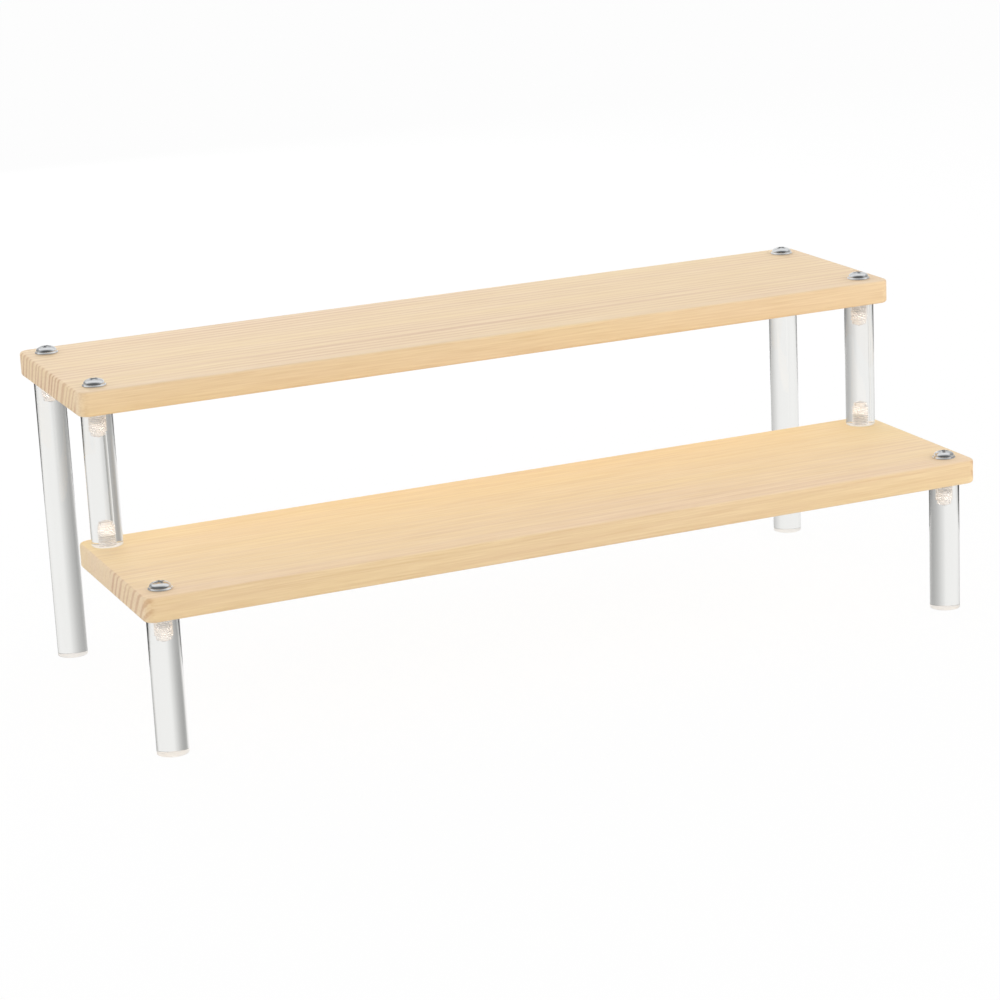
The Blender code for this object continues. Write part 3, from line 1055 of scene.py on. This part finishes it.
class DISPLAY_STAND_OT_stage(bpy.types.Operator):
    """Sets the pale floor, the white tent, the lamps and the camera"""

    bl_idname = "display_stand.stage"
    bl_label = "Stage"
    bl_options = {"REGISTER", "UNDO"}

    def execute(self, context):
        stage = context.scene.display_stand.stage
        self.floor(stage)
        self.tent(stage)
        self.lamps(stage)
        self.world(context, stage)
        self.camera(context)
        context.scene.view_settings.view_transform = "Standard"
        return {"FINISHED"}

    def floor(self, stage):
        """White to the camera, with a faint shadow left in it, and a matt card to the light."""
        bpy.ops.object.select_all(action="DESELECT")
        bpy.ops.mesh.primitive_circle_add(
            vertices=FLOOR_STEPS,
            radius=FLOOR_RADIUS,
            fill_type="NGON",
            location=(0, 0, -FLOOR_DROP),
        )
        floor = bpy.context.object
        floor.name = "stage_floor"
        material, tree, shader = new_material("pale_floor")
        tree.nodes.remove(shader)
        matt = add_node(tree, "ShaderNodeBsdfDiffuse", {"Color": (*stage.floor, 1.0)})
        white = add_node(tree, "ShaderNodeEmission", {"Strength": 1.0})
        path = add_node(tree, "ShaderNodeLightPath")
        seen = add_node(
            tree,
            "ShaderNodeMath",
            {0: path.outputs["Is Camera Ray"], 1: FLOOR_WHITE},
            operation="MULTIPLY",
        )
        mix = add_node(
            tree,
            "ShaderNodeMixShader",
            {0: seen.outputs[0], 1: matt.outputs[0], 2: white.outputs[0]},
        )
        tree.links.new(mix.outputs[0], tree.nodes["Material Output"].inputs["Surface"])
        floor.data.materials.append(material)
        # Rods and screws show the tent, which goes on below the floor
        floor.visible_glossy = False
        floor.visible_transmission = False

    def tent(self, stage):
        """A round tent, cut open above, that only the rods and the screws show."""
        bpy.ops.object.select_all(action="DESELECT")
        bpy.ops.mesh.primitive_uv_sphere_add(
            segments=TENT_SEGMENTS,
            ring_count=TENT_RINGS,
            radius=TENT_RADIUS,
            location=TENT_MIDDLE,
        )
        tent = bpy.context.object
        tent.name = "stage_tent"
        bpy.ops.object.transform_apply(location=True, rotation=True, scale=True)
        bpy.ops.object.mode_set(mode="EDIT")
        bpy.ops.mesh.select_all(action="SELECT")
        bpy.ops.mesh.bisect(plane_co=(0, 0, TENT_TOP), plane_no=(0, 0, 1), clear_outer=True)
        bpy.ops.object.mode_set(mode="OBJECT")
        tent.data.materials.append(self.tent_cloth(stage))
        tent.visible_camera = False
        tent.visible_diffuse = False
        tent.visible_shadow = False

    def tent_cloth(self, stage):
        """Bright white cloth: dim folds give clear rods grey sides, a dark front shades screws."""
        material, tree, shader = new_material("white_tent_cloth")
        tree.nodes.remove(shader)
        spot = add_node(tree, "ShaderNodeTexCoord").outputs["Object"]
        aside, ahead = (
            add_node(
                tree,
                "ShaderNodeVectorMath",
                {0: spot, 1: way / TENT_RADIUS},
                operation="DOT_PRODUCT",
            ).outputs["Value"]
            for way in (TO_RIGHT, TO_CAMERA)
        )
        distance = add_node(tree, "ShaderNodeMath", {0: aside}, operation="ABSOLUTE")
        dim = add_node(tree, "ShaderNodeValToRGB", {"Fac": distance.outputs[0]}, stops=FOLDS)
        behind = add_node(
            tree,
            "ShaderNodeMapRange",
            {"Value": ahead, "From Min": FOLDS_BEGIN, "From Max": FOLDS_FULL},
        )
        fold = add_node(
            tree,
            "ShaderNodeMath",
            {0: dim.outputs["Color"], 1: behind.outputs["Result"]},
            operation="MULTIPLY",
        )
        cloth = add_node(
            tree,
            "ShaderNodeMix",
            {0: fold.outputs[0], MIX_A: (*stage.tent, 1.0), MIX_B: (*stage.tent_side, 1.0)},
            data_type="RGBA",
        )
        front = add_node(
            tree,
            "ShaderNodeMapRange",
            {
                "Value": ahead,
                "From Min": FRONT_BEGINS,
                "From Max": FRONT_FULL,
                "To Min": 1.0,
                "To Max": FRONT_SHADE,
            },
        )
        # Only what is mirrored shows the dark front. A ray through a rod counts as glossy too,
        # so it is taken off again.
        path = add_node(tree, "ShaderNodeLightPath")
        mirrored = add_node(
            tree,
            "ShaderNodeMath",
            {0: path.outputs["Is Glossy Ray"], 1: path.outputs["Is Transmission Ray"]},
            operation="SUBTRACT",
        )
        shaded = add_node(
            tree,
            "ShaderNodeMix",
            {
                0: mirrored.outputs[0],
                MIX_A: cloth.outputs[MIX_RESULT],
                MIX_B: front.outputs["Result"],
            },
            data_type="RGBA",
            blend_type="MULTIPLY",
        )
        glow = add_node(
            tree, "ShaderNodeEmission", {"Color": shaded.outputs[MIX_RESULT], "Strength": 1.0}
        )
        tree.links.new(glow.outputs[0], tree.nodes["Material Output"].inputs["Surface"])
        return material

    def lamps(self, stage):
        """Soft round lamps that light the stand and don't show on it."""
        for name, place, size in LAMPS:
            bpy.ops.object.light_add(type="AREA", location=place)
            lamp = bpy.context.object
            lamp.name = f"{name}_lamp"
            lamp.data.shape = "DISK"
            lamp.data.size = size
            lamp.data.energy = getattr(stage, name)
            way = LAMP_TARGET - Vector(place)
            lamp.rotation_euler = way.to_track_quat("-Z", "Y").to_euler()
            lamp.visible_camera = False
            lamp.visible_glossy = False
            lamp.visible_transmission = False

    def world(self, context, stage):
        """White to the camera, daylight to matt things and a dark-fronted ceiling to shiny ones."""
        world = bpy.data.worlds.new("studio")
        world.use_nodes = True
        tree = world.node_tree
        tree.nodes.clear()
        path = add_node(tree, "ShaderNodeLightPath")
        way = add_node(tree, "ShaderNodeTexCoord").outputs["Generated"]
        rise = add_node(tree, "ShaderNodeSeparateXYZ", {"Vector": way})
        sky = add_node(
            tree,
            "ShaderNodeMapRange",
            {"Value": rise.outputs["Z"], "To Min": stage.daylight, "To Max": stage.overhead},
        )
        day = add_node(tree, "ShaderNodeBackground", {"Strength": sky.outputs["Result"]})
        white = add_node(tree, "ShaderNodeBackground", {"Strength": 1.0})
        ahead = add_node(
            tree, "ShaderNodeVectorMath", {0: way, 1: TO_CAMERA}, operation="DOT_PRODUCT"
        )
        front = add_node(
            tree, "ShaderNodeMapRange", {"Value": ahead.outputs["Value"], "From Min": -1.0}
        )
        shade = add_node(
            tree, "ShaderNodeValToRGB", {"Fac": front.outputs["Result"]}, stops=CEILING
        )
        ceiling = add_node(tree, "ShaderNodeBackground", {"Color": shade.outputs["Color"]})
        shiny = add_node(
            tree,
            "ShaderNodeMath",
            {0: path.outputs["Is Glossy Ray"], 1: path.outputs["Is Transmission Ray"]},
            operation="MAXIMUM",
        )
        shown = add_node(
            tree,
            "ShaderNodeMixShader",
            {0: shiny.outputs[0], 1: day.outputs[0], 2: ceiling.outputs[0]},
        )
        seen = add_node(
            tree,
            "ShaderNodeMixShader",
            {0: path.outputs["Is Camera Ray"], 1: shown.outputs[0], 2: white.outputs[0]},
        )
        add_node(tree, "ShaderNodeOutputWorld", {"Surface": seen.outputs[0]})
        context.scene.world = world

    def camera(self, context):
        """The photograph's view."""
        bpy.ops.object.camera_add(location=CAMERA_PLACE)
        camera = bpy.context.object
        camera.name = "view"
        camera.data.lens = CAMERA_LENS
        camera.data.sensor_width = CAMERA_SENSOR
        camera.matrix_world = (
            Matrix.Translation(CAMERA_PLACE)
            @ Matrix.Rotation(-CAMERA_YAW, 4, "Z")
            @ Matrix.Rotation(math.pi / 2 - CAMERA_PITCH, 4, "X")
            @ Matrix.Rotation(CAMERA_ROLL, 4, "Z")
        )
        context.scene.camera = camera


class DISPLAY_STAND_PT_panel(bpy.types.Panel):
    """Lists the operators, each with its settings"""

    bl_label = "Display Stand"
    bl_idname = "DISPLAY_STAND_PT_panel"
    bl_space_type = "VIEW_3D"
    bl_region_type = "UI"
    bl_category = "Display Stand"

    def draw(self, context):
        settings = context.scene.display_stand
        for name, operator in (
            ("shelf", DISPLAY_STAND_OT_shelves),
            ("rod", DISPLAY_STAND_OT_rods),
            ("screw", DISPLAY_STAND_OT_screws),
            ("stage", DISPLAY_STAND_OT_stage),
        ):
            box = self.layout.box()
            box.operator(operator.bl_idname)
            group = getattr(settings, name)
            for key in group.__annotations__:
                box.prop(group, key)


CLASSES = (
    ShelfSettings,
    RodSettings,
    ScrewSettings,
    StageSettings,
    StandSettings,
    DISPLAY_STAND_OT_shelves,
    DISPLAY_STAND_OT_rods,
    DISPLAY_STAND_OT_screws,
    DISPLAY_STAND_OT_stage,
    DISPLAY_STAND_PT_panel,
)


def register():
    for cls in CLASSES:
        bpy.utils.register_class(cls)
    bpy.types.Scene.display_stand = PointerProperty(type=StandSettings)


def unregister():
    del bpy.types.Scene.display_stand
    for cls in reversed(CLASSES):
        bpy.utils.unregister_class(cls)


def main():
    register()
    bpy.ops.display_stand.stage()
    bpy.ops.display_stand.shelves()
    bpy.ops.display_stand.rods()
    bpy.ops.display_stand.screws()


if __name__ == "__main__":
    main()
